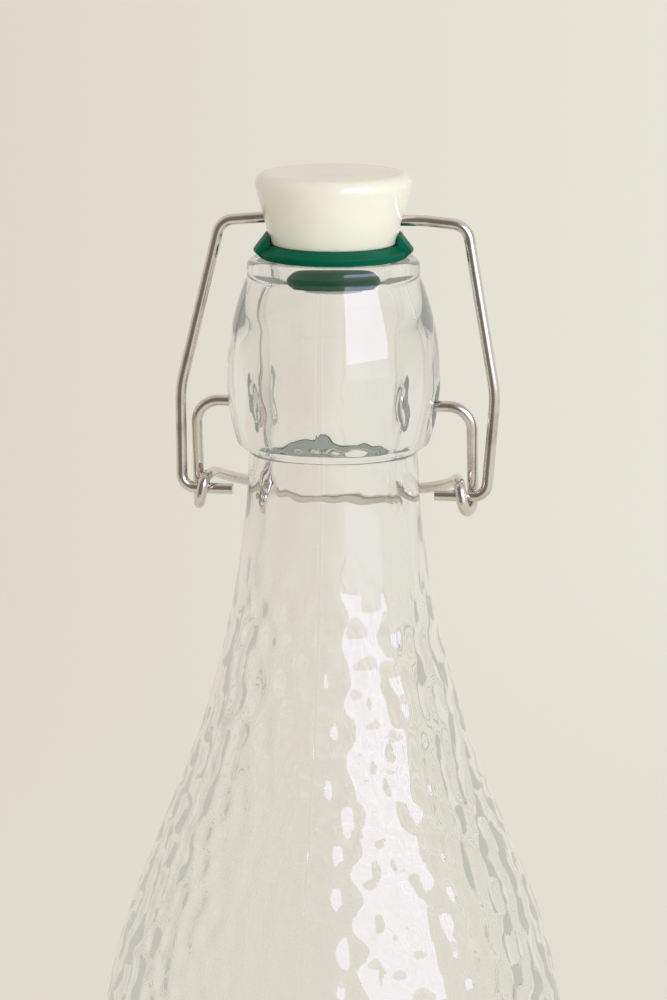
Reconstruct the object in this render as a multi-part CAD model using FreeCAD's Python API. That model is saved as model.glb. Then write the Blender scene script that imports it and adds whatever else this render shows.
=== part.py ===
import FreeCAD, Part
import math
import os

# A one-litre swing top bottle. Millimetres, +Z up, origin at the centre of the base.
# X runs along the lever's pivots, and the lever's loop is behind the neck on the +Y side.
# A drop is measured down from the plane of the lip, and a rise is measured up from it.

# Driving dimensions of the glass outside
glass_height = 310.0
body_radius = 43.5
lip_radius = 15.45
lip_rounding = 1.5
lip_band = 3.4
bulge_radius = 19.1
bulge_drop = 21.7
bulge_end_drop = 33.0
bulge_under_bend = 37.5
collar_bend = 1.6
collar_radius = 15.1
flare_drop = 41.0
flare_start_radius = 15.4
flare_bend = 190.0
flare_start_angle = 4.2
cone_angle = 22.5
shoulder_bend = 123.0
heel_bend = 7.0
stand_width = 5.5
punt_height = 4.0

# Driving dimensions of the glass inside
wall = 3.5
floor_thickness = 5.0
floor_bend = 9.0
inner_flare_drop = 46.0
throat_radius = 10.6
chamber_radius = 12.6
chamber_drop = 11.5
mouth_radius = 9.8
mouth_rounding = 1.0
mouth_depth = 2.6

# Driving dimensions of the wires' gauge and of the three axes that the closure turns about
wire_diameter = 2.0
pivot_drop = 26.5
eye_drop = 42.7
bar_rise = 6.85

# Driving dimensions of the lever
pin_depth = 2.8
upright_gap = 4.9
upright_bend = 4.2
eye_slack = 0.6
eye_roundness = 0.84
strand_gap = 0.8
arm_bend = 8.0
loop_gap = 1.2
loop_pinch = 5.7
loop_fall = 5.6
loop_roundness = 0.88

# Driving dimensions of the bail
stub_past_arm = 2.8
stub_bend = 2.5
leg_gap = 0.7
leg_bow = 0.8
knee_rise = 2.2
knee_bend = 19.0
bar_overhang = 7.6
bar_droop = 0.7
bar_bend = 10.0
leg_top_bend = 3.2
bar_shift = 1.8

# Driving dimensions of the stopper and the gasket
head_over_bar = 8.35
head_radius = 14.6
head_rounding = 2.0
foot_radius = 11.2
foot_rounding = 0.5
web_under_bar = 3.3
stem_radius = 4.0
flange_step = 1.2
flange_depth = 1.2
flange_rounding = 0.5
gasket_step = 0.35
rim_inset = 1.85
rim_rise = 1.35
rim_rounding = 0.35
rim_bevel = 0.6
tab_rise = 1.85
tab_gap = 0.2
tab_crest = 0.3
tab_reach = 0.8
tab_width = 7.2
tab_turn = 9.0
plug_gap = 0.5
plug_taper = 2.3
plug_depth = 5.0

# Clearances of the fits, and the flared mouth of the dimples that take the lever's pins
bar_clearance = 0.1
pin_clearance = 0.1
pin_end_clearance = 0.3
seal_clearance = 0.1
stem_clearance = 0.05
dimple_flare_depth = 1.8
dimple_flare_width = 1.3

# Gap under which two ends of an outline count as joined
join_tolerance = 1e-6

# Heights that several pieces share
wire_radius = wire_diameter / 2
lip_z = glass_height
pivot_z = lip_z - pivot_drop
eye_z = lip_z - eye_drop
bar_z = lip_z + bar_rise
bar_hole_radius = wire_radius + bar_clearance
seat_z = bar_z - bar_hole_radius - web_under_bar

# Distances of the wires from the middle plane, each a clear gap from what it passes
pin_tip = bulge_radius - pin_depth
upright_offset = bulge_radius + upright_gap + wire_radius
arm_offset = upright_offset - wire_diameter - strand_gap
leg_offset = upright_offset + wire_diameter + leg_gap
stub_tip = arm_offset - wire_radius - stub_past_arm
eye_radius = wire_diameter + eye_slack

origin = FreeCAD.Vector(0, 0, 0)
upward = FreeCAD.Vector(0, 0, 1)
sideways = FreeCAD.Vector(1, 0, 0)


def at(radius, z):
    """A point of a turned outline."""
    return FreeCAD.Vector(radius, 0, z)


def about(centre, radius, degrees):
    """The point at a radius and an angle from a centre, turning from +X towards +Z."""
    turn = math.radians(degrees)
    return centre + at(radius * math.cos(turn), radius * math.sin(turn))


class Outline:
    """A closed outline in the XZ plane, drawn edge by edge and then turned about Z."""

    def __init__(self, start):
        self.start = start
        self.here = start
        self.edges = []

    def line_to(self, end):
        self.edges.append(Part.LineSegment(self.here, end).toShape())
        self.here = end

    def swing(self, centre, degrees):
        """An arc about a centre, counted from +X towards +Z."""
        spoke = self.here - centre
        start_angle = math.degrees(math.atan2(spoke.z, spoke.x))
        middle = about(centre, spoke.Length, start_angle + degrees / 2)
        end = about(centre, spoke.Length, start_angle + degrees)
        self.edges.append(Part.Arc(self.here, middle, end).toShape())
        self.here = end

    def turned(self):
        if self.here.distanceToPoint(self.start) > join_tolerance:
            self.line_to(self.start)
        return Part.Face(Part.Wire(self.edges)).revolve(origin, upward, 360)


def fillet(before, corner, after, bend):
    """Start, middle and end of the arc that rounds a corner between two straight runs."""
    towards_before = (before - corner).normalize()
    towards_after = (after - corner).normalize()
    half_opening = towards_before.getAngle(towards_after) / 2
    reach = bend / math.tan(half_opening)
    inward = (towards_before + towards_after).normalize()
    start = corner + towards_before * reach
    middle = corner + inward * (bend / math.sin(half_opening) - bend)
    end = corner + towards_after * reach
    return start, middle, end


def turned_piece(corners):
    """A turned solid from (radius, z, rounding) corners, where the first and last corners stay sharp."""
    points = [at(radius, z) for radius, z, rounding in corners]
    outline = Outline(points[0])
    for index in range(1, len(points)):
        rounding = corners[index][2]
        if rounding == 0:
            outline.line_to(points[index])
            continue
        start, middle, end = fillet(points[index - 1], points[index], points[index + 1], rounding)
        outline.line_to(start)
        outline.edges.append(Part.Arc(start, middle, end).toShape())
        outline.here = end
    return outline.turned()


def both_sides(half):
    """The (point, bend) corners of a wire from those of its +X half, mirrored in the middle plane."""
    mirrored = [(FreeCAD.Vector(-point.x, point.y, point.z), bend) for point, bend in reversed(half)]
    return half + mirrored


def bent_wire(corners, name):
    """A round wire along straight runs between (point, bend) corners, each corner rounded by its bend."""
    points = [point for point, bend in corners]
    edges = []
    here = points[0]
    for index in range(1, len(points) - 1):
        start, middle, end = fillet(points[index - 1], points[index], points[index + 1], corners[index][1])
        edges.append(Part.LineSegment(here, start).toShape())
        edges.append(Part.Arc(start, middle, end).toShape())
        here = end
    edges.append(Part.LineSegment(here, points[-1]).toShape())
    path = Part.Wire(edges)
    section = Part.Wire(Part.Circle(points[0], points[1] - points[0], wire_radius).toShape())
    solid = path.makePipeShell([section], True, False)
    share = solid.Volume / (math.pi * wire_radius ** 2 * path.Length)
    print(name, "length", round(path.Length, 1), "volume over section times length", round(share, 4))
    return solid


def glass():
    """The glass turned in one piece, before the dimples are pressed into it."""
    outline = Outline(at(mouth_radius + mouth_rounding, lip_z))

    # Lip, then the bulge, whose two arcs meet upright at its widest place
    outline.line_to(at(lip_radius - lip_rounding, lip_z))
    outline.swing(at(lip_radius - lip_rounding, lip_z - lip_rounding), -90)
    outline.line_to(at(lip_radius, lip_z - lip_band))
    bulge_z = lip_z - bulge_drop
    bulge_rise = bulge_drop - lip_band
    bulge_step = bulge_radius - lip_radius
    upper_bend = (bulge_step ** 2 + bulge_rise ** 2) / (2 * bulge_step)
    outline.swing(at(bulge_radius - upper_bend, bulge_z), -math.degrees(math.asin(bulge_rise / upper_bend)))
    under_turn = math.degrees(math.asin((bulge_end_drop - bulge_drop) / bulge_under_bend))
    outline.swing(at(bulge_radius - bulge_under_bend, bulge_z), -under_turn)

    # Collar: the bulge turns in under itself to a crease at the neck
    collar_centre = about(outline.here, -collar_bend, -under_turn)
    outline.swing(collar_centre, under_turn - 90)
    collar_z = outline.here.z
    outline.line_to(at(collar_radius, collar_z))

    # Neck, flare, straight cone and shoulder
    outline.line_to(at(flare_start_radius, lip_z - flare_drop))
    flare_centre = about(outline.here, flare_bend, flare_start_angle)
    outline.swing(flare_centre, cone_angle - flare_start_angle)
    shoulder_radius = body_radius - shoulder_bend * (1 - math.cos(math.radians(cone_angle)))
    cone_height = (shoulder_radius - outline.here.x) / math.tan(math.radians(cone_angle))
    outline.line_to(at(shoulder_radius, outline.here.z - cone_height))
    shoulder_centre = about(outline.here, -shoulder_bend, cone_angle)
    outline.swing(shoulder_centre, -cone_angle)

    # Body, heel, stand ring and the hollow under the base
    outline.line_to(at(body_radius, heel_bend))
    outline.swing(at(body_radius - heel_bend, heel_bend), -90)
    punt_radius = body_radius - heel_bend - stand_width
    outline.line_to(at(punt_radius, 0))
    punt_bend = (punt_radius ** 2 + punt_height ** 2) / (2 * punt_height)
    outline.swing(at(0, punt_height - punt_bend), math.degrees(math.asin(punt_radius / punt_bend)))

    # Inside, from the floor up to the flare, one wall thickness within the outside
    floor_z = punt_height + floor_thickness
    inner_radius = body_radius - wall
    outline.line_to(at(0, floor_z))
    outline.line_to(at(inner_radius - floor_bend, floor_z))
    outline.swing(at(inner_radius - floor_bend, floor_z + floor_bend), 90)
    outline.line_to(at(inner_radius, shoulder_centre.z))
    outline.swing(shoulder_centre, cone_angle)
    outline.line_to(about(flare_centre, -flare_bend - wall, cone_angle))
    flare_top_depth = flare_centre.z - (lip_z - inner_flare_drop)
    flare_top_angle = math.degrees(math.asin(flare_top_depth / (flare_bend + wall)))
    outline.swing(flare_centre, flare_top_angle - cone_angle)

    # Throat at the collar, the wider chamber inside the bulge, and the mouth
    outline.line_to(at(throat_radius, collar_z))
    chamber_z = lip_z - chamber_drop
    outline.line_to(at(chamber_radius, chamber_z))
    chamber_step = chamber_radius - mouth_radius
    chamber_rise = chamber_drop - mouth_depth
    chamber_bend = (chamber_step ** 2 + chamber_rise ** 2) / (2 * chamber_step)
    chamber_turn = math.degrees(math.asin(chamber_rise / chamber_bend))
    outline.swing(at(chamber_radius - chamber_bend, chamber_z), chamber_turn)
    outline.line_to(at(mouth_radius, lip_z - mouth_rounding))
    outline.swing(at(mouth_radius + mouth_rounding, lip_z - mouth_rounding), -90)
    return outline.turned()


def bottle():
    """The glass with a dimple at each side of the bulge for the lever's pins."""
    shape = glass()
    hole_radius = wire_radius + pin_clearance
    hole_end = pin_tip - pin_end_clearance
    flare_start = bulge_radius - dimple_flare_depth
    flare_radius = hole_radius + dimple_flare_width
    for side in (1, -1):
        outward = sideways * side
        hole_base = outward * hole_end + upward * pivot_z
        hole = Part.makeCylinder(hole_radius, bulge_radius - hole_end, hole_base, outward)
        flare_base = outward * flare_start + upward * pivot_z
        flare = Part.makeCone(hole_radius, flare_radius, dimple_flare_depth, flare_base, outward)
        shape = shape.cut(hole.fuse(flare))
    return shape


def stopper():
    """The moulded head, with its stem and flange below and the hole for the bail across it."""
    top_z = bar_z + head_over_bar
    flange_radius = stem_radius + flange_step
    flange_top_z = lip_z - plug_depth - stem_clearance
    flange_end_z = flange_top_z - flange_depth
    shape = turned_piece([
        (0, top_z, 0),
        (head_radius, top_z, head_rounding),
        (foot_radius, seat_z, foot_rounding),
        (stem_radius, seat_z, 0),
        (stem_radius, flange_top_z, 0),
        (flange_radius, flange_top_z, 0),
        (flange_radius, flange_end_z, flange_rounding),
        (0, flange_end_z, 0),
    ])
    hole_start = upward * bar_z - sideways * head_radius
    hole = Part.makeCylinder(bar_hole_radius, 2 * head_radius, hole_start, sideways)
    return shape.cut(hole)


def gasket():
    """The rubber ring: a bevelled rim over the lip, a tapered plug in the mouth and two raised tabs."""
    hole_radius = stem_radius + stem_clearance
    rim_radius = lip_radius - rim_inset
    rim_z = lip_z + rim_rise
    under_radius = rim_radius - rim_bevel
    under_z = lip_z + seal_clearance
    plug_radius = mouth_radius - plug_gap
    tip_z = lip_z - plug_depth
    ring = turned_piece([
        (hole_radius, seat_z, 0),
        (foot_radius + gasket_step, seat_z, 0),
        (rim_radius, rim_z, rim_rounding),
        (under_radius, under_z, 0),
        (plug_radius, under_z, 0),
        (plug_radius - plug_taper, tip_z, 0),
        (hole_radius, tip_z, 0),
    ])

    # The tabs stand beside the stopper's tapering foot, and are cut from a turned band
    taper = (head_radius - foot_radius) / (bar_z + head_over_bar - seat_z)
    tab_radius = foot_radius + taper * tab_rise + tab_gap
    tab_z = seat_z + tab_rise
    tab_tip_radius = rim_radius + tab_reach
    band = turned_piece([
        (tab_radius, under_z, 0),
        (tab_radius, tab_z, 0),
        (tab_radius + tab_crest, tab_z, 0),
        (tab_tip_radius, rim_z, rim_rounding),
        (under_radius, under_z, 0),
    ])
    slab_corner = FreeCAD.Vector(-tab_tip_radius, -tab_width / 2, under_z)
    slab = Part.makeBox(2 * tab_tip_radius, tab_width, tab_z - under_z, slab_corner)
    slab.rotate(origin, upward, tab_turn)
    return ring.fuse(band.common(slab)).removeSplitter()


def lever():
    """One wire: a pin, an upright and an eye at each side, joined by the loop behind the neck."""
    eye_bend = eye_roundness * eye_radius
    eye_top_z = eye_z + eye_radius
    eye_foot_z = eye_z - eye_radius
    # The eye winds inwards by one third of its lead on each of its three runs
    lead = (upright_offset - arm_offset) / 3
    arm = FreeCAD.Vector(arm_offset, eye_radius, eye_top_z)
    loop_depth = flare_start_radius + loop_gap + wire_radius
    loop_end = FreeCAD.Vector(arm_offset - loop_pinch, loop_depth, eye_top_z - loop_fall)
    loop_reach = loop_roundness * min(loop_end.x, arm.distanceToPoint(loop_end))
    loop_bend = loop_reach * math.tan((arm - loop_end).getAngle(-sideways) / 2)
    return bent_wire(both_sides([
        (at(pin_tip, pivot_z), 0),
        (at(upright_offset, pivot_z), upright_bend),
        (FreeCAD.Vector(upright_offset, eye_radius, eye_foot_z), eye_bend),
        (FreeCAD.Vector(upright_offset - lead, -eye_radius, eye_foot_z), eye_bend),
        (FreeCAD.Vector(upright_offset - 2 * lead, -eye_radius, eye_top_z), eye_bend),
        (arm, arm_bend),
        (loop_end, loop_bend),
    ]), "lever")


def bail():
    """One wire: a stub through each eye, two bowed legs and the bar, which leans a little to +X."""
    upright_corners = both_sides([
        (at(stub_tip, eye_z), 0),
        (at(leg_offset, eye_z), stub_bend),
        (at(leg_offset + leg_bow, pivot_z + knee_rise), knee_bend),
        (at(head_radius + bar_overhang, bar_z - bar_droop), leg_top_bend),
        (at(head_radius, bar_z), bar_bend),
    ])
    lean = bar_shift / (bar_z - eye_z)
    corners = [(point + sideways * lean * (point.z - eye_z), bend) for point, bend in upright_corners]
    return bent_wire(corners, "bail")


pieces = {
    "bottle": bottle(),
    "stopper": stopper(),
    "gasket": gasket(),
    "lever": lever(),
    "bail": bail(),
}

os.makedirs("parts", exist_ok=True)
for name, shape in pieces.items():
    print(name, "valid", shape.isValid(), "solids", len(shape.Solids), "volume", round(shape.Volume))
    shape.exportStep("parts/" + name + ".step")

reach = (eye_drop - pivot_drop) / (eye_drop + bar_rise)
print("share of the lever's turn that the bail keeps", round(reach, 4))
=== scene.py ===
import math

import bmesh
import bpy
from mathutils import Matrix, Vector, noise as fieldNoise


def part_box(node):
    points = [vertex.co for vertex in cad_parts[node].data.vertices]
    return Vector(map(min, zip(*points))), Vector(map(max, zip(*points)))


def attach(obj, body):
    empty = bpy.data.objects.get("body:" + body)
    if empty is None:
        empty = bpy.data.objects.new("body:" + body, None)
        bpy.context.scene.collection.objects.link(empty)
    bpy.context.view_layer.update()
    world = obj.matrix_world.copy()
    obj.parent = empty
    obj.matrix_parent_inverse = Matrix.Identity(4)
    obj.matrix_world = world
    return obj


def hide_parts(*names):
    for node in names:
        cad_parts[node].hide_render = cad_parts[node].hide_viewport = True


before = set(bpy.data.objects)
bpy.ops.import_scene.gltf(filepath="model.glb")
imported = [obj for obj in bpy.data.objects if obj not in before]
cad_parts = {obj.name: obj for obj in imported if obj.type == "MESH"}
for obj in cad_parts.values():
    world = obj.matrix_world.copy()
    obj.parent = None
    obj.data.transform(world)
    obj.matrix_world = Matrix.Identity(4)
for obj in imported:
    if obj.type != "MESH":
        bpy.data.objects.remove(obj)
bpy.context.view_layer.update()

mm = 0.001
quarterTurn = 90.0
print("frame loaded:", sorted(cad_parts))


# a socket of a node tree that can stand in a sum, and that makes the next node
class Flow:
    def __init__(self, tree, socket=None):
        self.tree = tree
        self.socket = socket

    def make(self, kind, settings=None, inputs=None, out=0):
        node = self.tree.nodes.new(kind)
        for name, value in (settings or {}).items():
            setattr(node, name, value)
        for name, value in (inputs or {}).items():
            if isinstance(value, Flow):
                self.tree.links.new(value.socket, node.inputs[name])
            else:
                node.inputs[name].default_value = value
        return Flow(self.tree, node.outputs[out] if node.outputs else None)

    def maths(self, operation, first, second=0.0):
        return self.make("ShaderNodeMath", {"operation": operation}, {0: first, 1: second})

    def __add__(self, other):
        return self.maths("ADD", self, other)

    def __sub__(self, other):
        return self.maths("SUBTRACT", self, other)

    def __rsub__(self, other):
        return self.maths("SUBTRACT", other, self)

    def __mul__(self, other):
        return self.maths("MULTIPLY", self, other)

    def __rmul__(self, other):
        return self.maths("MULTIPLY", other, self)

    def __truediv__(self, other):
        return self.maths("DIVIDE", self, other)

    def lowest(self, other):
        return self.maths("MINIMUM", self, other)

    def above(self, limit):
        return self.maths("GREATER_THAN", self, limit)

    def size(self):
        return self.maths("ABSOLUTE", self)

    # 0 to 1 becomes low to high
    def between(self, low, high):
        return self * (high - low) + low

    # 0 below the first edge, 1 above the second, smooth between
    def step(self, low, high):
        return self.make("ShaderNodeMapRange", {"interpolation_type": "SMOOTHSTEP"},
                         {"Value": self, "From Min": low, "From Max": high})


# a Mix node's colour sockets share their names with its other sockets, so they go by number
mixSockets = {"first": 6, "second": 7, "result": 2}


def mixColours(flow, factor, first, second):
    return flow.make("ShaderNodeMix", {"data_type": "RGBA"},
                     {"Factor": factor, mixSockets["first"]: first, mixSockets["second"]: second},
                     out=mixSockets["result"])


def mixShaders(flow, factor, first, second):
    return flow.make("ShaderNodeMixShader", {}, {0: factor, 1: first, 2: second})


def newMaterial(name):
    material = bpy.data.materials.new(name)
    material.use_nodes = True
    material.node_tree.nodes.clear()
    return material, Flow(material.node_tree)


def objectPlace(flow):
    return flow.make("ShaderNodeTexCoord", out="Object")


def axisOf(flow, place, axis):
    return flow.make("ShaderNodeSeparateXYZ", {}, {0: place}, out=axis)


def noise(flow, place, scale, detail):
    return flow.make("ShaderNodeTexNoise", {}, {"Vector": place, "Scale": scale, "Detail": detail})


def bumpFrom(flow, height, strength):
    return flow.make("ShaderNodeBump", {}, {"Strength": strength, "Distance": 1.0, "Height": height})


def lipHeight():
    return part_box("bottle")[1].z


# glass: clear soda-lime with a breath of grey green, the slow ripple of a moulded surface and a faint seam
# each noise is given as its scale and its detail
glassFinish = {
    "tint": (0.99, 0.993, 0.988, 1.0),
    "thickTint": (0.98, 0.989, 0.982, 1.0),
    "ior": 1.5,
    "roughness": (0.0, 0.025),
    "cloud": (25.0, 3.0), "cloudEdges": (0.55, 0.8),
    "ripple": (70.0, 3.0), "rippleHeight": 0.04 * mm,
    "seamWidth": 0.35 * mm, "seamHeight": 0.06 * mm,
    "bump": 0.6,
    # past deepBounces the glass glows in a painted reflection tone, and in a darker painted shade tone in
    # the neck
    "deepBounces": 2.5,
    "paintedDeepReflection": (0.53, 0.525, 0.465, 1.0),
    "paintedNeckShade": (0.26, 0.275, 0.25, 1.0),
    "neckDrops": (44.0 * mm, 56.0 * mm),
}


# a ray mirrored more often than deepBounces ends in a fixed glowing tone, a painted reflection, with painted
# shade making it darker in the neck
def makeGlass():
    finish = glassFinish
    material, flow = newMaterial("clearGlass")
    place = objectPlace(flow)
    cloud = noise(flow, place, *finish["cloud"])
    ripple = noise(flow, place, *finish["ripple"])
    seam = 1.0 - axisOf(flow, place, "X").size().step(0.0, finish["seamWidth"])
    height = ripple * finish["rippleHeight"] + seam * finish["seamHeight"]
    clear = flow.make("ShaderNodeBsdfPrincipled", {}, {
        "Base Color": mixColours(flow, cloud, finish["tint"], finish["thickTint"]),
        "Roughness": cloud.step(*finish["cloudEdges"]).between(*finish["roughness"]),
        "Normal": bumpFrom(flow, height, finish["bump"]),
        "IOR": finish["ior"], "Transmission Weight": 1.0,
    })
    lip = lipHeight()
    neckTop, neckFoot = finish["neckDrops"]
    neck = axisOf(flow, place, "Z").step(lip - neckFoot, lip - neckTop)
    # glowing painted reflection below the neck and painted shade in it, in place of what deeper mirrorings
    # would show
    below = flow.make("ShaderNodeEmission", {}, {"Color": finish["paintedDeepReflection"], "Strength": 1.0})
    above = flow.make("ShaderNodeEmission", {}, {"Color": finish["paintedNeckShade"], "Strength": 1.0})
    spent = flow.make("ShaderNodeLightPath", out="Glossy Depth").above(finish["deepBounces"])
    surface = mixShaders(flow, spent, clear, mixShaders(flow, neck, below, above))
    flow.make("ShaderNodeOutputMaterial", {}, {"Surface": surface})
    return material


# two colours in a cloudy mix, a fine grain, and a roughness that follows one of the two noises
def makeFinish(finish):
    material, flow = newMaterial(finish["name"])
    place = objectPlace(flow)
    noises = {name: noise(flow, place, *finish[name]) for name in ("cloud", "grain")}
    shader = flow.make("ShaderNodeBsdfPrincipled", {}, {
        "Base Color": mixColours(flow, noises["cloud"].step(*finish["cloudEdges"]), *finish["colours"]),
        "Roughness": noises[finish["roughBy"]].between(*finish["roughness"]),
        "Normal": bumpFrom(flow, noises["grain"] * finish["grainHeight"], finish["bump"]),
        **finish["shine"],
    })
    flow.make("ShaderNodeOutputMaterial", {}, {"Surface": shader})
    return material


# stopper: glossy cream moulding, with faint cloudiness and a soft orange-peel skin
stopperFinish = {
    "name": "creamPlastic",
    "colours": ((0.86, 0.84, 0.76, 1.0), (0.82, 0.795, 0.7, 1.0)),
    "cloud": (90.0, 4.0), "cloudEdges": (0.45, 0.75),
    "grain": (700.0, 3.0), "grainHeight": 0.006 * mm, "bump": 0.5,
    "roughness": (0.1, 0.18), "roughBy": "cloud",
    "shine": {"Coat Weight": 0.4, "Coat Roughness": 0.06, "Subsurface Weight": 0.08},
}

# gasket: deep green rubber with a pale bloom
gasketFinish = {
    "name": "greenRubber",
    "colours": ((0.0005, 0.115, 0.062, 1.0), (0.006, 0.135, 0.08, 1.0)),
    "cloud": (160.0, 5.0), "cloudEdges": (0.5, 0.78),
    "grain": (1500.0, 4.0), "grainHeight": 0.012 * mm, "bump": 0.7,
    "roughness": (0.32, 0.5), "roughBy": "grain",
    "shine": {"Specular IOR Level": 0.06},
}

# bail and lever: bright drawn stainless steel, with fine die marks and a few dull handling patches
wireFinish = {
    "name": "drawnSteel",
    "colours": ((0.74, 0.69, 0.64, 1.0), (0.5, 0.455, 0.41, 1.0)),
    "cloud": (220.0, 4.0), "cloudEdges": (0.5, 0.8),
    "grain": (900.0, 2.0), "grainHeight": 0.008 * mm, "bump": 0.5,
    "roughness": (0.09, 0.24), "roughBy": "cloud",
    "shine": {"Metallic": 1.0},
}


# a turned outline, walked from point to point
class Outline:
    def __init__(self, start):
        self.points = [start]

    def here(self):
        return self.points[-1]

    def add(self, point):
        self.points.append(point)

    def lineTo(self, end, stepLength):
        start = self.here()
        count = max(1, math.ceil((end - start).length / stepLength))
        for index in range(1, count + 1):
            self.add(start.lerp(end, index / count))

    def swing(self, centre, degrees, stepLength):
        spoke = self.here() - centre
        turn = math.radians(degrees)
        count = max(2, math.ceil(abs(turn) * spoke.length / stepLength))
        startAngle = math.atan2(spoke.y, spoke.x)
        for index in range(1, count + 1):
            angle = startAngle + turn * index / count
            self.add(centre + spoke.length * Vector((math.cos(angle), math.sin(angle))))


def about(centre, radius, degrees):
    turn = math.radians(degrees)
    return centre + radius * Vector((math.cos(turn), math.sin(turn)))


# the radius of the arc that leaves its tangent by this much, this far along
def bendThrough(sideways, along):
    return (sideways ** 2 + along ** 2) / (2 * sideways)


def turnOf(along, bend):
    return math.degrees(math.asin(along / bend))


# the bottle's outline, with drops measured down from the lip, and the lengths of the mesh's steps
# a point nearer to the axis than axisReach is on it
bottleShape = {
    "lipRadius": 15.45 * mm, "lipRounding": 1.5 * mm, "lipBand": 3.4 * mm,
    "bulgeRadius": 19.1 * mm, "bulgeDrop": 21.7 * mm, "bulgeEndDrop": 33.0 * mm, "bulgeUnderBend": 37.5 * mm,
    "collarBend": 1.6 * mm, "collarRadius": 15.1 * mm,
    "flareDrop": 41.0 * mm, "flareStartRadius": 15.4 * mm, "flareBend": 190.0 * mm, "flareStartAngle": 4.2,
    "coneAngle": 22.5, "shoulderBend": 123.0 * mm, "bodyRadius": 43.5 * mm,
    "heelBend": 7.0 * mm, "standWidth": 5.5 * mm, "puntHeight": 4.0 * mm,
    "wall": 3.5 * mm, "floorThickness": 5.0 * mm, "floorBend": 9.0 * mm,
    "innerFlareDrop": 46.0 * mm, "throatRadius": 10.6 * mm,
    "chamberRadius": 12.6 * mm, "chamberDrop": 11.5 * mm,
    "mouthRadius": 9.8 * mm, "mouthRounding": 1.0 * mm, "mouthDepth": 2.6 * mm,
    "segments": 232, "outerStep": 1.2 * mm, "bodyStep": 2.4 * mm, "finishStep": 0.8 * mm,
    "roundingStep": 0.27 * mm, "ledgeStep": 0.4 * mm,
    "innerStep": 2.0 * mm, "innerBodyStep": 3.2 * mm, "floorStep": 5.0 * mm, "axisReach": 1e-7,
}


# from the mouth's edge over the lip and down the outside to the stand ring
def walkOutside(walk, lip):
    shape = bottleShape
    fine = shape["finishStep"]
    tight = shape["roundingStep"]
    step = shape["outerStep"]
    lipEdge = shape["lipRadius"] - shape["lipRounding"]
    walk.lineTo(Vector((lipEdge, lip)), fine)
    walk.swing(Vector((lipEdge, lip - shape["lipRounding"])), -quarterTurn, tight)
    walk.lineTo(Vector((shape["lipRadius"], lip - shape["lipBand"])), fine)
    bulgeZ = lip - shape["bulgeDrop"]
    rise = shape["bulgeDrop"] - shape["lipBand"]
    upperBend = bendThrough(shape["bulgeRadius"] - shape["lipRadius"], rise)
    walk.swing(Vector((shape["bulgeRadius"] - upperBend, bulgeZ)), -turnOf(rise, upperBend), fine)
    underBend = shape["bulgeUnderBend"]
    underTurn = turnOf(shape["bulgeEndDrop"] - shape["bulgeDrop"], underBend)
    walk.swing(Vector((shape["bulgeRadius"] - underBend, bulgeZ)), -underTurn, fine)
    walk.swing(about(walk.here(), -shape["collarBend"], -underTurn), underTurn - quarterTurn, tight)
    collarZ = walk.here().y
    walk.lineTo(Vector((shape["collarRadius"], collarZ)), shape["ledgeStep"])
    walk.lineTo(Vector((shape["flareStartRadius"], lip - shape["flareDrop"])), step)
    flareCentre = about(walk.here(), shape["flareBend"], shape["flareStartAngle"])
    walk.swing(flareCentre, shape["coneAngle"] - shape["flareStartAngle"], step)
    slope = math.radians(shape["coneAngle"])
    shoulderRadius = shape["bodyRadius"] - shape["shoulderBend"] * (1 - math.cos(slope))
    coneFall = (shoulderRadius - walk.here().x) / math.tan(slope)
    walk.lineTo(Vector((shoulderRadius, walk.here().y - coneFall)), step)
    shoulderCentre = about(walk.here(), -shape["shoulderBend"], shape["coneAngle"])
    walk.swing(shoulderCentre, -shape["coneAngle"], step)
    walk.lineTo(Vector((shape["bodyRadius"], shape["heelBend"])), shape["bodyStep"])
    walk.swing(Vector((shape["bodyRadius"] - shape["heelBend"], shape["heelBend"])), -quarterTurn, step)
    return collarZ, flareCentre, shoulderCentre


# across the stand ring and up the hollow of the base to the axis
def walkUnder(walk):
    shape = bottleShape
    step = shape["floorStep"]
    puntRadius = shape["bodyRadius"] - shape["heelBend"] - shape["standWidth"]
    walk.lineTo(Vector((puntRadius, 0)), step)
    bend = bendThrough(shape["puntHeight"], puntRadius)
    walk.swing(Vector((0, shape["puntHeight"] - bend)), turnOf(puntRadius, bend), step)
    walk.points[-1].x = 0


# from the floor up the inside to the mouth, where the outline closes on its first point
def walkInside(walk, lip, collarZ, flareCentre, shoulderCentre):
    shape = bottleShape
    fine = shape["finishStep"]
    step = shape["innerStep"]
    throatStep = shape["outerStep"]
    floorZ = shape["puntHeight"] + shape["floorThickness"]
    innerRadius = shape["bodyRadius"] - shape["wall"]
    floorEdge = innerRadius - shape["floorBend"]
    walk.add(Vector((0, floorZ)))
    walk.lineTo(Vector((floorEdge, floorZ)), shape["floorStep"])
    walk.swing(Vector((floorEdge, floorZ + shape["floorBend"])), quarterTurn, step)
    walk.lineTo(Vector((innerRadius, shoulderCentre.y)), shape["innerBodyStep"])
    walk.swing(shoulderCentre, shape["coneAngle"], step)
    flareBend = shape["flareBend"] + shape["wall"]
    walk.lineTo(about(flareCentre, -flareBend, shape["coneAngle"]), step)
    flareTop = flareCentre.y - (lip - shape["innerFlareDrop"])
    walk.swing(flareCentre, turnOf(flareTop, flareBend) - shape["coneAngle"], step)
    walk.lineTo(Vector((shape["throatRadius"], collarZ)), throatStep)
    chamberZ = lip - shape["chamberDrop"]
    walk.lineTo(Vector((shape["chamberRadius"], chamberZ)), throatStep)
    rise = shape["chamberDrop"] - shape["mouthDepth"]
    bend = bendThrough(shape["chamberRadius"] - shape["mouthRadius"], rise)
    walk.swing(Vector((shape["chamberRadius"] - bend, chamberZ)), turnOf(rise, bend), fine)
    mouthZ = lip - shape["mouthRounding"]
    walk.lineTo(Vector((shape["mouthRadius"], mouthZ)), fine)
    mouthCentre = Vector((shape["mouthRadius"] + shape["mouthRounding"], mouthZ))
    walk.swing(mouthCentre, -quarterTurn, shape["roundingStep"])
    walk.points.pop()


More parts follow.
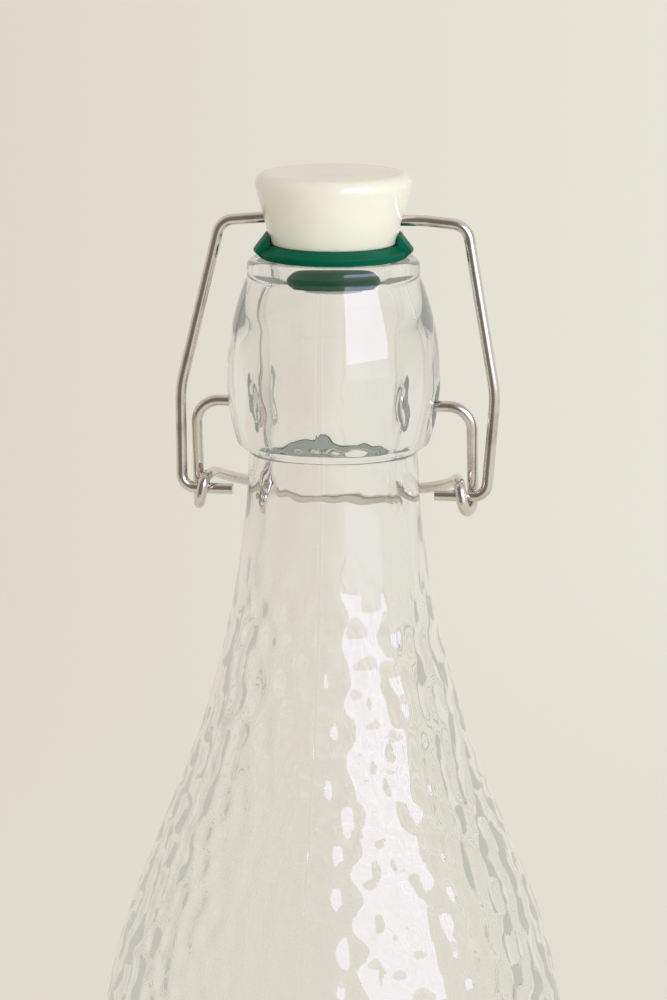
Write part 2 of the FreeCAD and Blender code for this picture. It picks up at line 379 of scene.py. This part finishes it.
def bottleOutline(lip):
    walk = Outline(Vector((bottleShape["mouthRadius"] + bottleShape["mouthRounding"], lip)))
    collarZ, flareCentre, shoulderCentre = walkOutside(walk, lip)
    outerCount = len(walk.points)
    walkUnder(walk)
    underCount = len(walk.points)
    walkInside(walk, lip, collarZ, flareCentre, shoulderCentre)
    return walk.points, outerCount, underCount


def smooth(low, high, value):
    share = min(1.0, max(0.0, (value - low) / (high - low)))
    return share * share * (3 - 2 * share)


# the hammered skin: bowls pressed side by side into the outside of the glass
# the inside of the wall follows them by innerShare
hammering = {
    "pitch": 4.2 * mm, "depth": 0.46 * mm, "bowlRadius": 8.0 * mm, "squeeze": 0.8, "seed": 7,
    "innerShare": 0.9, "faintest": 0.001, "densest": 200000.0,
    "topDrop": 50.0 * mm, "fullDrop": 72.0 * mm, "footFade": (5.0 * mm, 14.0 * mm),
}


# how strongly the bowls are pressed at a height of the wall
def hammerStrength(z, lip):
    below = smooth(hammering["topDrop"], hammering["fullDrop"], lip - z)
    return below * smooth(*hammering["footFade"], z)


# the inside of the neck is blown, not pressed, so it is a little uneven
bore = {
    "depth": 0.22 * mm, "size": 5.0 * mm, "drops": (12.0 * mm, 28.0 * mm, 52.0 * mm, 80.0 * mm),
    "fineDepth": 0.07 * mm, "fineSize": 1.7 * mm, "fineDrops": (40.0 * mm, 44.0 * mm),
}


def boreSwell(x, y, z, lip):
    first, full, ebb, last = bore["drops"]
    share = smooth(first, full, lip - z) * (1 - smooth(ebb, last, lip - z))
    place = Vector((x, y, z))
    broad = bore["depth"] * fieldNoise.noise(place / bore["size"])
    fine = bore["fineDepth"] * fieldNoise.noise(place / bore["fineSize"])
    fine *= 1 - smooth(*bore["fineDrops"], lip - z)
    return share * (broad + fine)


# the dimples that take the lever's pins, taller than they are wide
dimples = {
    "drop": 26.5 * mm, "depth": 3.3 * mm, "floorRadius": 1.5 * mm, "mouthRadius": 3.4 * mm, "stretch": 1.3,
}


def dimpleDepth(y, z, lip):
    reach = math.hypot(y, (z - (lip - dimples["drop"])) / dimples["stretch"])
    return dimples["depth"] * (1 - smooth(dimples["floorRadius"], dimples["mouthRadius"], reach))


# one ring of the wall, or one point on the axis
# a hammer strength above 0 marks the outside of the wall, and one below 0 the inside
def makeRing(form, strength, point, lip, outside, inside):
    if point.x < bottleShape["axisReach"]:
        return [form.verts.new((0, 0, point.y))]
    segments = bottleShape["segments"]
    share = 1.0 if outside else -hammering["innerShare"]
    ring = []
    for turn in range(segments):
        angle = 2 * math.pi * turn / segments
        x = point.x * math.cos(angle)
        y = point.x * math.sin(angle)
        if outside and abs(x) > bottleShape["collarRadius"]:
            x -= math.copysign(dimpleDepth(y, point.y, lip), x)
        if inside:
            swell = 1 + boreSwell(x, y, point.y, lip) / point.x
            x *= swell
            y *= swell
        vert = form.verts.new((x, y, point.y))
        vert[strength] = hammerStrength(point.y, lip) * share
        ring.append(vert)
    return ring


def joinRings(form, ring, following):
    segments = bottleShape["segments"]
    for turn in range(segments):
        after = (turn + 1) % segments
        if len(ring) == 1:
            corners = (ring[0], following[turn], following[after])
        elif len(following) == 1:
            corners = (ring[turn], following[0], ring[after])
        else:
            corners = (ring[turn], following[turn], following[after], ring[after])
        form.faces.new(corners).smooth = True


def makeBottleMesh():
    lip = lipHeight()
    points, outerCount, underCount = bottleOutline(lip)
    mesh = bpy.data.meshes.new("hammeredBottle")
    form = bmesh.new()
    strength = form.verts.layers.float.new("hammer")
    rings = []
    for index, point in enumerate(points):
        rings.append(makeRing(form, strength, point, lip, index < outerCount, index > underCount))
    for index, ring in enumerate(rings):
        following = rings[(index + 1) % len(rings)]
        if len(ring) > 1 or len(following) > 1:
            joinRings(form, ring, following)
    bmesh.ops.recalc_face_normals(form, faces=form.faces)
    form.to_mesh(mesh)
    form.free()
    bottle = bpy.data.objects.new("hammered_bottle", mesh)
    bpy.context.collection.objects.link(bottle)
    print("bottle outline", len(points), "rings,", len(mesh.polygons), "faces")
    return bottle


def vectorMaths(flow, operation, first, second):
    return flow.make("ShaderNodeVectorMath", {"operation": operation}, {0: first, 1: second})


def scaled(flow, vector, share):
    return flow.make("ShaderNodeVectorMath", {"operation": "SCALE"}, {0: vector, "Scale": share})


# a bowl round each point scattered on the outside, felt in a space squeezed along the bottle
# the inside of the wall feels the bowls across the glass
def makeHammerTree(glass):
    tree = bpy.data.node_groups.new("hammeredSkin", "GeometryNodeTree")
    face = tree.interface
    face.new_socket("Geometry", in_out="OUTPUT", socket_type="NodeSocketGeometry")
    face.new_socket("Geometry", in_out="INPUT", socket_type="NodeSocketGeometry")
    values = {
        "Pitch": hammering["pitch"], "Depth": hammering["depth"], "Bowl Radius": hammering["bowlRadius"],
        "Squeeze": hammering["squeeze"], "Wall": bottleShape["wall"], "Seed": hammering["seed"],
    }
    identifiers = {}
    for name, value in values.items():
        kind = "NodeSocketInt" if isinstance(value, int) else "NodeSocketFloat"
        identifiers[name] = face.new_socket(name, in_out="INPUT", socket_type=kind).identifier
    flow = Flow(tree)
    given = flow.make("NodeGroupInput").socket.node
    entry = {socket.name: Flow(tree, socket) for socket in given.outputs if socket.name}
    faintest = hammering["faintest"]
    strength = flow.make("GeometryNodeInputNamedAttribute", {"data_type": "FLOAT"}, {"Name": "hammer"})
    outside = flow.make("FunctionNodeCompare", {"operation": "GREATER_THAN"}, {0: strength, 1: faintest})
    inside = flow.make("FunctionNodeCompare", {"operation": "LESS_THAN"}, {0: strength, 1: -faintest})
    place = flow.make("GeometryNodeInputPosition")
    normal = flow.make("GeometryNodeInputNormal")
    axes = flow.make("ShaderNodeCombineXYZ", {}, {0: 1.0, 1: 1.0, 2: entry["Squeeze"]})
    across = scaled(flow, normal, inside * entry["Wall"])
    felt = vectorMaths(flow, "MULTIPLY", vectorMaths(flow, "SUBTRACT", place, across), axes)
    short = flow.make("GeometryNodeSetPosition", {}, {
        "Geometry": entry["Geometry"], "Position": vectorMaths(flow, "MULTIPLY", place, axes),
    })
    seeds = flow.make("GeometryNodeDistributePointsOnFaces", {"distribute_method": "POISSON"}, {
        "Mesh": short, "Selection": outside, "Distance Min": entry["Pitch"],
        "Density Max": hammering["densest"], "Seed": entry["Seed"],
    })
    reach = flow.make("GeometryNodeProximity", {"target_element": "POINTS"},
                      {0: seeds, "Sample Position": felt}, out="Distance")
    bowl = (reach * reach / (2.0 * entry["Bowl Radius"])).lowest(entry["Depth"]) - entry["Depth"]
    push = scaled(flow, normal, bowl * strength)
    moved = flow.make("GeometryNodeSetPosition", {}, {"Geometry": entry["Geometry"], "Offset": push})
    whole = flow.make("GeometryNodeRealizeInstances", {}, {"Geometry": moved})
    dressed = flow.make("GeometryNodeSetMaterial", {}, {"Geometry": whole, "Material": glass})
    flow.make("NodeGroupOutput", {}, {0: dressed})
    return tree, {identifiers[name]: value for name, value in values.items()}


def hammerBottle(bottle, glass):
    tree, values = makeHammerTree(glass)
    modifier = bottle.modifiers.new("hammering", "NODES")
    modifier.node_group = tree
    for identifier, value in values.items():
        modifier[identifier] = value
    graph = bpy.context.evaluated_depsgraph_get()
    baked = bpy.data.meshes.new_from_object(bottle.evaluated_get(graph))
    bottle.modifiers.remove(modifier)
    bottle.data = baked
    print("hammered skin", len(baked.polygons), "faces")


def dressNode(name, material):
    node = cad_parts[name]
    node.data.materials.clear()
    node.data.materials.append(material)


bottle = makeBottleMesh()
hammerBottle(bottle, makeGlass())
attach(bottle, "bottle")
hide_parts("bottle")

steel = makeFinish(wireFinish)
dressNode("stopper", makeFinish(stopperFinish))
dressNode("gasket", makeFinish(gasketFinish))
dressNode("bail", steel)
dressNode("lever", steel)
print("pieces dressed")


# the photograph's view: the neck and the shoulder, from a little above and to the right
viewpoint = {
    "azimuth": 9.0, "elevation": 11.5, "distance": 0.85, "aimDrop": 44.2 * mm,
    "frameHeight": 180.0 * mm, "sensor": 36.0, "clipStart": 0.01,
}


def makeCamera():
    aim = Vector((0, 0, lipHeight() - viewpoint["aimDrop"]))
    turn = math.radians(viewpoint["azimuth"])
    tilt = math.radians(viewpoint["elevation"])
    back = Vector((math.sin(turn) * math.cos(tilt), -math.cos(turn) * math.cos(tilt), math.sin(tilt)))
    data = bpy.data.cameras.new("viewCamera")
    data.sensor_width = viewpoint["sensor"]
    data.lens = viewpoint["sensor"] * viewpoint["distance"] / viewpoint["frameHeight"]
    data.clip_start = viewpoint["clipStart"]
    camera = bpy.data.objects.new("viewCamera", data)
    camera.location = aim + back * viewpoint["distance"]
    camera.rotation_euler = back.to_track_quat("Z", "Y").to_euler()
    bpy.context.collection.objects.link(camera)
    bpy.context.scene.camera = camera


# a pale room with one large softbox at the front right
# each fade or spread is a pair of edges along an axis
studio = {
    "leftPaper": (0.735, 0.69, 0.605, 1.0), "rightPaper": (0.8, 0.775, 0.69, 1.0),
    "paperSpread": (-0.26, -0.06),
    "sideTone": (0.52, 0.515, 0.465, 1.0), "sideFade": (0.0, 0.85),
    "frontTone": (0.2, 0.175, 0.155, 1.0), "frontFade": (-0.8, 0.1), "rightFade": (0.0, 0.5),
    "ambient": 0.8,
    "floorColour": (0.76, 0.74, 0.69, 1.0), "floorRoughness": 0.8, "floorGrain": (60.0, 3.0),
    "floorReach": 1.4, "floorFade": (0.3, 1.2), "floorGlow": 0.75, "floorPaperScale": 0.4,
    "boxTurn": 47.0, "boxWidth": 1.16, "glareColour": (0.66, 0.63, 1.0),
}

# the softbox as three lamps: the key lights the pieces, and the glare shows only in reflections
softboxes = {
    "key": {"rise": (0.05, 1.35), "power": 14.0, "distance": 1.4, "glare": False},
    "footGlare": {"rise": (0.2, 0.37), "power": 0.78, "distance": 1.3, "glare": True},
    "topGlare": {"rise": (0.37, 1.3), "power": 20.0, "distance": 1.3, "glare": True},
}


def paperColour(flow, side):
    return mixColours(flow, side.step(*studio["paperSpread"]), studio["leftPaper"], studio["rightPaper"])


# switches that are 1 for a ray from the camera, off a shine and through glass
def showingRays(flow):
    names = ("Is Camera Ray", "Is Glossy Ray", "Is Transmission Ray")
    return [flow.make("ShaderNodeLightPath", out=name) for name in names]


# shiny pieces mirror a dark front that clears to the right and to the back, and glass shows greyer sides
def makeWorld():
    world = bpy.data.worlds.new("paleRoom")
    bpy.context.scene.world = world
    world.use_nodes = True
    world.node_tree.nodes.clear()
    flow = Flow(world.node_tree)
    way = flow.make("ShaderNodeTexCoord", out="Generated")
    side = axisOf(flow, way, "X")
    ahead = axisOf(flow, way, "Y")
    paper = paperColour(flow, side)
    seen, glossy, through = showingRays(flow)
    darkFront = mixColours(flow, ahead.step(*studio["frontFade"]), studio["frontTone"], paper)
    mirrored = mixColours(flow, side.step(*studio["rightFade"]), darkFront, paper)
    refracted = mixColours(flow, ahead.size().step(*studio["sideFade"]), studio["sideTone"], paper)
    shown = mixColours(flow, through, mixColours(flow, glossy, paper, mirrored), refracted)
    light = flow.make("ShaderNodeBackground", {}, {
        "Color": studio["rightPaper"], "Strength": studio["ambient"],
    })
    back = flow.make("ShaderNodeBackground", {}, {"Color": shown, "Strength": 1.0})
    visible = (seen + glossy + through).lowest(1.0)
    flow.make("ShaderNodeOutputWorld", {}, {"Surface": mixShaders(flow, visible, light, back)})


# the floor takes the shadow near the bottle and fades into the paper farther off
def makeFloor():
    material, flow = newMaterial("paleFloor")
    place = objectPlace(flow)
    far = flow.make("ShaderNodeVectorMath", {"operation": "LENGTH"}, {0: place}, out="Value")
    grain = noise(flow, place, *studio["floorGrain"])
    ground = flow.make("ShaderNodeBsdfPrincipled", {}, {
        "Base Color": mixColours(flow, grain, studio["floorColour"], studio["rightPaper"]),
        "Roughness": studio["floorRoughness"],
    })
    paper = paperColour(flow, axisOf(flow, place, "X") * studio["floorPaperScale"])
    glow = flow.make("ShaderNodeEmission", {}, {"Color": paper, "Strength": 1.0})
    clear = flow.make("ShaderNodeBsdfTransparent")
    seen, glossy, through = showingRays(flow)
    lit = (seen + glossy + through).lowest(1.0) * studio["floorGlow"]
    solid = mixShaders(flow, lit, ground, glow)
    faded = mixShaders(flow, far.step(*studio["floorFade"]), solid, clear)
    flow.make("ShaderNodeOutputMaterial", {}, {"Surface": faded})
    half = studio["floorReach"]
    corners = [(-half, -half, 0), (half, -half, 0), (half, half, 0), (-half, half, 0)]
    mesh = bpy.data.meshes.new("floor")
    mesh.from_pydata(corners, [], [(0, 1, 2, 3)])
    floor = bpy.data.objects.new("floor", mesh)
    mesh.materials.append(material)
    bpy.context.collection.objects.link(floor)


def makeLamp(name, box):
    low, high = box["rise"]
    turn = math.radians(studio["boxTurn"])
    outward = Vector((math.sin(turn), -math.cos(turn), 0))
    data = bpy.data.lights.new(name, "AREA")
    data.shape = "RECTANGLE"
    data.size = studio["boxWidth"]
    data.size_y = high - low
    data.energy = box["power"]
    if box["glare"]:
        data.color = studio["glareColour"]
    lamp = bpy.data.objects.new(name, data)
    lamp.location = outward * box["distance"] + Vector((0, 0, (low + high) / 2))
    lamp.rotation_euler = outward.to_track_quat("Z", "Y").to_euler()
    lamp.visible_diffuse = not box["glare"]
    lamp.visible_glossy = box["glare"]
    lamp.visible_transmission = False
    bpy.context.collection.objects.link(lamp)


makeCamera()
makeWorld()
makeFloor()
for name, box in softboxes.items():
    makeLamp(name, box)
bpy.context.scene.view_settings.view_transform = "Standard"
print("studio ready")
